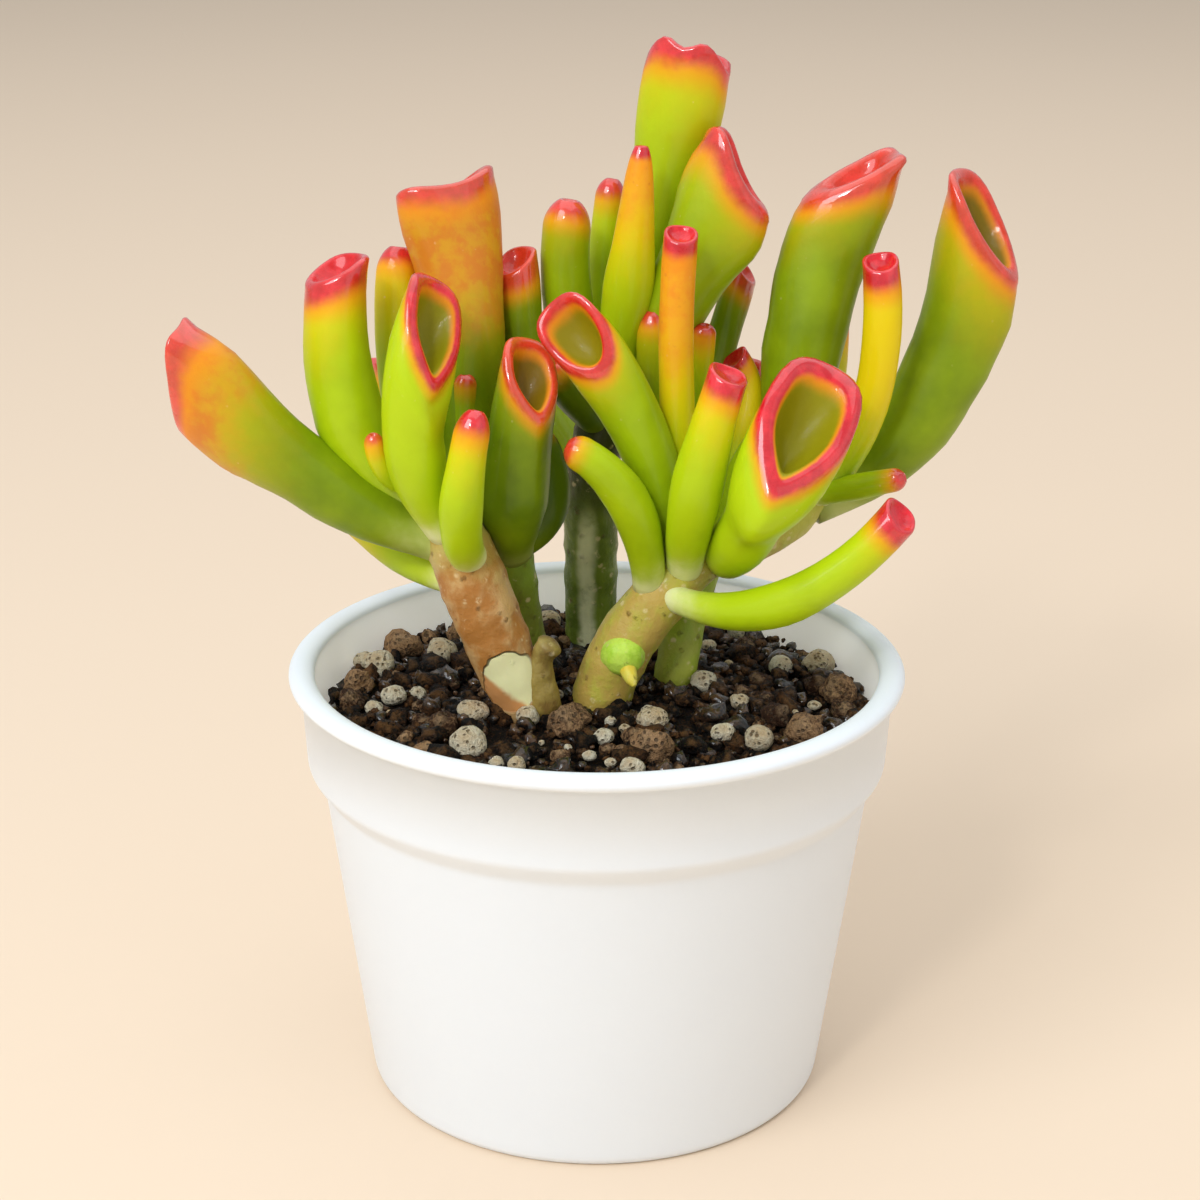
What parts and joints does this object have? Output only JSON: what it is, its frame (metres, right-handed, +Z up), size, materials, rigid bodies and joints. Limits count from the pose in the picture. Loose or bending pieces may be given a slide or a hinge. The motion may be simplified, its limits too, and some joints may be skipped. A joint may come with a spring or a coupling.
{
  "type": "potted succulent",
  "caption": "Trumpet-leaved jade plant with red-rimmed tubular leaves on thick stems, in a small round white pot filled with gritty soil.",
  "frame": {"origin": "centre of the pot's underside, at the height of the surface it stands on", "axes": "+Z up along the pot's axis, -Y towards the front of the plant, +X towards its right-hand shoot"},
  "size_m": [0.1215, 0.0898, 0.1514],
  "materials": {
    "pot_white": "smooth satin white",
    "soil_mix": "moist dark potting mix with pale pumice, rough",
    "stem_bark": "fleshy stem with thin dry bark",
    "leaf_green": "waxy green leaf with a red rim, satin",
    "leaf_lime": "waxy yellow-green leaf with a red rim, satin",
    "leaf_amber": "waxy orange leaf with a red rim, satin"
  },
  "bodies": {
    "root": {"leaf_back_left_a": "leaf_green", "leaf_back_left_b": "leaf_green", "leaf_back_low": "leaf_lime", "leaf_back_mid_a": "leaf_green", "leaf_back_mid_b": "leaf_green", "leaf_back_right_a": "leaf_green", "leaf_back_right_b": "leaf_green", "leaf_back_right_c": "leaf_lime", "leaf_crown_fold": "leaf_lime", "leaf_crown_heart": "leaf_lime", "leaf_crown_left": "leaf_green", "leaf_crown_low": "leaf_green", "leaf_crown_rear": "leaf_green", "leaf_crown_spear": "leaf_lime", "leaf_left_behind": "leaf_lime", "leaf_left_bud": "leaf_lime", "leaf_left_front": "leaf_lime", "leaf_left_hollow": "leaf_green", "leaf_left_low": "leaf_green", "leaf_left_orange": "leaf_amber", "leaf_left_paddle": "leaf_green", "leaf_left_scoop": "leaf_lime", "leaf_left_shade": "leaf_green", "leaf_left_shade_scoop": "leaf_green", "leaf_left_sprig": "leaf_green", "leaf_left_tall": "leaf_lime", "leaf_right_big": "leaf_green", "leaf_right_curl": "leaf_lime", "leaf_right_front": "leaf_lime", "leaf_right_inner": "leaf_green", "leaf_right_long": "leaf_amber", "leaf_right_low": "leaf_lime", "leaf_right_ring": "leaf_green", "leaf_right_scoop": "leaf_lime", "leaf_right_tall": "leaf_green", "leaf_right_twig": "leaf_lime", "leaf_right_yellow": "leaf_lime", "leaf_side_bud": "leaf_lime", "leaf_side_flare": "leaf_green", "leaf_side_inner": "leaf_green", "leaf_side_small": "leaf_green", "pot": "pot_white", "soil": "soil_mix", "stem_back": "stem_bark", "stem_left": "stem_bark", "stem_left_rear": "stem_bark", "stem_right": "stem_bark", "stem_side": "stem_bark"}
  },
  "joints": []
}
